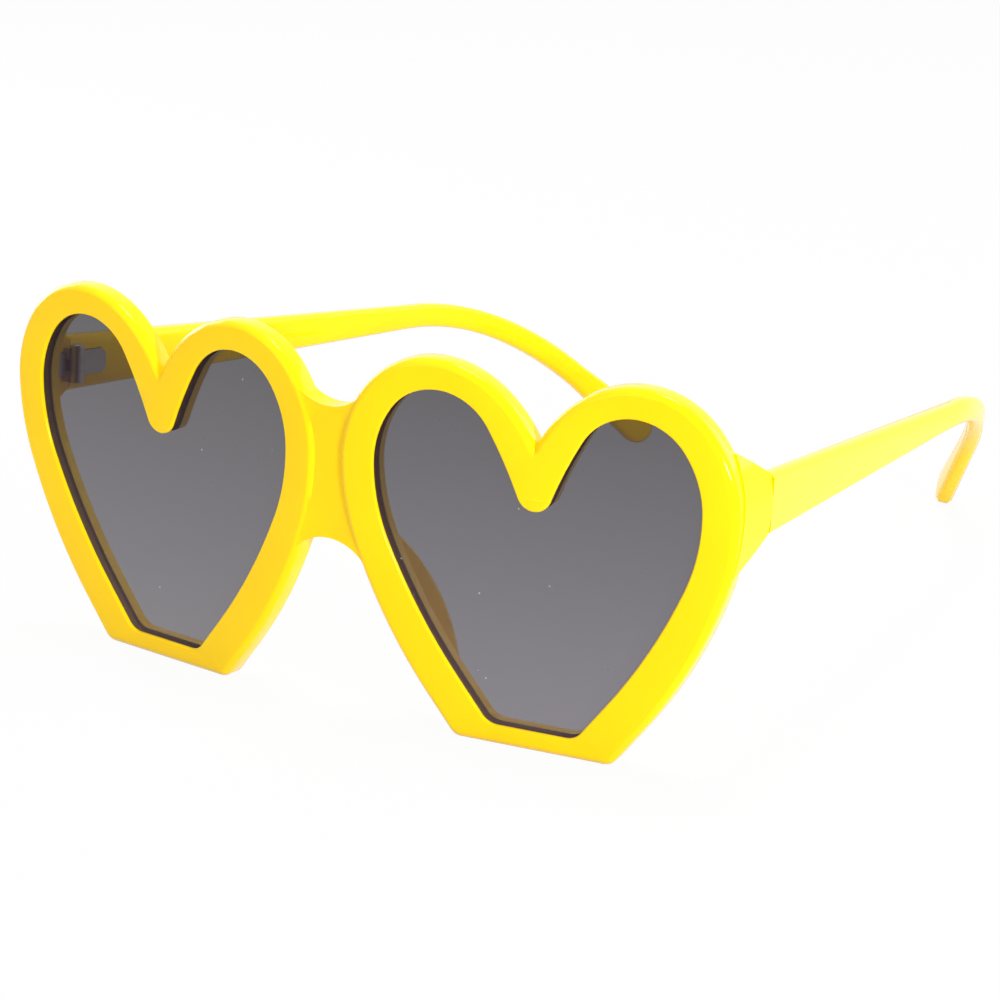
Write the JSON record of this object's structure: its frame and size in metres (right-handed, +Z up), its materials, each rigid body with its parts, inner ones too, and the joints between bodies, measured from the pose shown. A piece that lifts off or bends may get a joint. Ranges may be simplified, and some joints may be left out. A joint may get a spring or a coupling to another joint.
{
  "type": "heart shaped sunglasses",
  "caption": "Sunglasses with a gloss yellow heart shaped front, grey tinted heart lenses and temples that fold inwards on metal barrel hinges.",
  "frame": {"origin": "middle of the bounding box on the table plane that the open sunglasses stand on", "axes": "+X to the wearer's left, +Y from the front to the ear ends, +Z up"},
  "size_m": [0.1424, 0.1614, 0.0625],
  "materials": {
    "yellow_plastic": "polished opaque yellow moulded plastic",
    "grey_lens": "clear polished plastic with an even neutral grey tint",
    "hinge_metal": "plain stamped nickel silver",
    "screw_metal": "bright plated steel"
  },
  "bodies": {
    "front": {"frame_front": "yellow_plastic", "lens_left": "grey_lens", "lens_right": "grey_lens", "front_hinge_leaf_left": "hinge_metal", "front_hinge_leaf_right": "hinge_metal", "hinge_screw_left": "screw_metal", "hinge_screw_right": "screw_metal"},
    "left_temple": {"temple_left": "yellow_plastic", "temple_hinge_leaf_left": "hinge_metal"},
    "right_temple": {"temple_right": "yellow_plastic", "temple_hinge_leaf_right": "hinge_metal"}
  },
  "joints": [
    {"name": "left_temple_fold", "type": "hinge", "parent": "front", "child": "left_temple", "pos_m": [0.06653, -0.06243, 0.0439], "axis": [0, 0.1076, 0.9942], "range_deg": [0, 80]},
    {"name": "right_temple_fold", "type": "hinge", "parent": "front", "child": "right_temple", "pos_m": [-0.06653, -0.06243, 0.0439], "axis": [0, -0.1076, -0.9942], "range_deg": [0, 60]}
  ]
}
